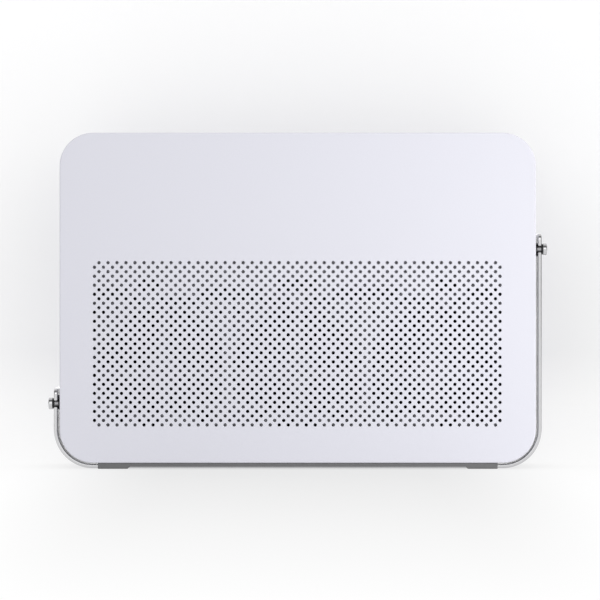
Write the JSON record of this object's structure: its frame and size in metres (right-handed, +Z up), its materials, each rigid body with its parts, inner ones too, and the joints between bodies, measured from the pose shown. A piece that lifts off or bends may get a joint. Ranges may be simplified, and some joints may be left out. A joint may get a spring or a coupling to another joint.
{
  "type": "wireless router",
  "caption": "Slim upright wireless router: rounded box with a perforated front over cooling fans, side sockets and buttons, held in a bent metal cradle on a rubber pad.",
  "frame": {"origin": "on the ground, under the middle of the enclosure", "axes": "+Z up, the perforated front faces -Y, the sockets and buttons are on the -X side"},
  "size_m": [0.2606, 0.052, 0.175],
  "materials": {
    "panel_finish": "fine matte powder coat",
    "shell_plastic": "moulded, finely textured",
    "inner_plastic": "moulded, lightly textured",
    "black_plastic": "moulded, semi-matte",
    "key_plastic": "moulded, satin",
    "lead_sheath": "smooth sheath",
    "circuit_board": "solder resist",
    "plated_steel": "bright plated",
    "black_anodised": "extruded, black anodised, matte",
    "lamp_plastic": "clear moulded",
    "brass": "plain",
    "strap_metal": "satin with bright edges",
    "pad_rubber": "dark grey, matte",
    "washer_rubber": "black, slightly glossy",
    "polished_screw": "polished"
  },
  "bodies": {
    "enclosure": {"front_panel": "panel_finish", "body_shell": "shell_plastic", "rear_cover": "shell_plastic", "fan_bracket": "inner_plastic", "fan_frame_left": "inner_plastic", "fan_frame_middle": "inner_plastic", "fan_frame_right": "inner_plastic", "lan_ports": "black_plastic", "wan_port": "black_plastic", "power_jack": "black_plastic", "fan_lead_left": "lead_sheath", "fan_lead_middle": "lead_sheath", "fan_lead_right": "lead_sheath", "antenna_lead_1": "lead_sheath", "antenna_lead_2": "lead_sheath", "antenna_lead_3": "lead_sheath", "main_board": "circuit_board", "button_board": "circuit_board", "shield_can": "plated_steel", "usb_port": "plated_steel", "cover_screw_1": "plated_steel", "cover_screw_2": "plated_steel", "cover_screw_3": "plated_steel", "cover_screw_4": "plated_steel", "board_screw_1": "plated_steel", "board_screw_2": "plated_steel", "board_screw_3": "plated_steel", "board_screw_4": "plated_steel", "heat_sink": "black_anodised", "light_guide": "lamp_plastic", "antenna_1": "brass", "antenna_2": "brass", "antenna_3": "brass", "threaded_insert_left_front": "brass", "threaded_insert_left_rear": "brass", "threaded_insert_right_front": "brass", "threaded_insert_right_rear": "brass", "stand_strap": "strap_metal", "base_pad": "pad_rubber", "inner_washer_left_front": "washer_rubber", "inner_washer_left_rear": "washer_rubber", "inner_washer_right_front": "washer_rubber", "inner_washer_right_rear": "washer_rubber", "outer_washer_left_front": "washer_rubber", "outer_washer_left_rear": "washer_rubber", "outer_washer_right_front": "washer_rubber", "outer_washer_right_rear": "washer_rubber"},
    "fan_rotor_left": {"fan_rotor_left": "black_plastic"},
    "fan_rotor_middle": {"fan_rotor_middle": "black_plastic"},
    "fan_rotor_right": {"fan_rotor_right": "black_plastic"},
    "power_button": {"power_button": "key_plastic"},
    "wps_button": {"wps_button": "key_plastic"},
    "reset_button": {"reset_button": "key_plastic"},
    "clamp_screw_left_front": {"clamp_screw_left_front": "polished_screw"},
    "clamp_screw_left_rear": {"clamp_screw_left_rear": "polished_screw"},
    "clamp_screw_right_front": {"clamp_screw_right_front": "polished_screw"},
    "clamp_screw_right_rear": {"clamp_screw_right_rear": "polished_screw"}
  },
  "joints": [
    {"name": "fan_left_spin", "type": "hinge", "parent": "enclosure", "child": "fan_rotor_left", "pos_m": [-0.0704, -0.013, 0.0499], "axis": [0, 1, 0], "continuous": true},
    {"name": "fan_middle_spin", "type": "hinge", "parent": "enclosure", "child": "fan_rotor_middle", "pos_m": [0, -0.013, 0.0499], "axis": [0, 1, 0], "continuous": true},
    {"name": "fan_right_spin", "type": "hinge", "parent": "enclosure", "child": "fan_rotor_right", "pos_m": [0.0704, -0.013, 0.0499], "axis": [0, 1, 0], "continuous": true},
    {"name": "power_button_press", "type": "slide", "parent": "enclosure", "child": "power_button", "axis": [1, 0, 0], "range_m": [0, 0.0006], "stiffness_N_per_m": 1500, "springref_m": -0.0002},
    {"name": "wps_button_press", "type": "slide", "parent": "enclosure", "child": "wps_button", "axis": [1, 0, 0], "range_m": [0, 0.0005], "stiffness_N_per_m": 1500, "springref_m": -0.0002},
    {"name": "reset_button_press", "type": "slide", "parent": "enclosure", "child": "reset_button", "axis": [1, 0, 0], "range_m": [0, 0.0005], "stiffness_N_per_m": 1500, "springref_m": -0.0002},
    {"name": "clamp_left_front_turn", "type": "hinge", "parent": "enclosure", "child": "clamp_screw_left_front", "pos_m": [-0.125, -0.0173, 0.0338], "axis": [1, 0, 0], "continuous": true},
    {"name": "clamp_left_rear_turn", "type": "hinge", "parent": "enclosure", "child": "clamp_screw_left_rear", "pos_m": [-0.125, 0.0173, 0.0338], "axis": [1, 0, 0], "continuous": true},
    {"name": "clamp_right_front_turn", "type": "hinge", "parent": "enclosure", "child": "clamp_screw_right_front", "pos_m": [0.125, -0.0173, 0.1145], "axis": [1, 0, 0], "continuous": true},
    {"name": "clamp_right_rear_turn", "type": "hinge", "parent": "enclosure", "child": "clamp_screw_right_rear", "pos_m": [0.125, 0.0173, 0.1145], "axis": [1, 0, 0], "continuous": true}
  ]
}
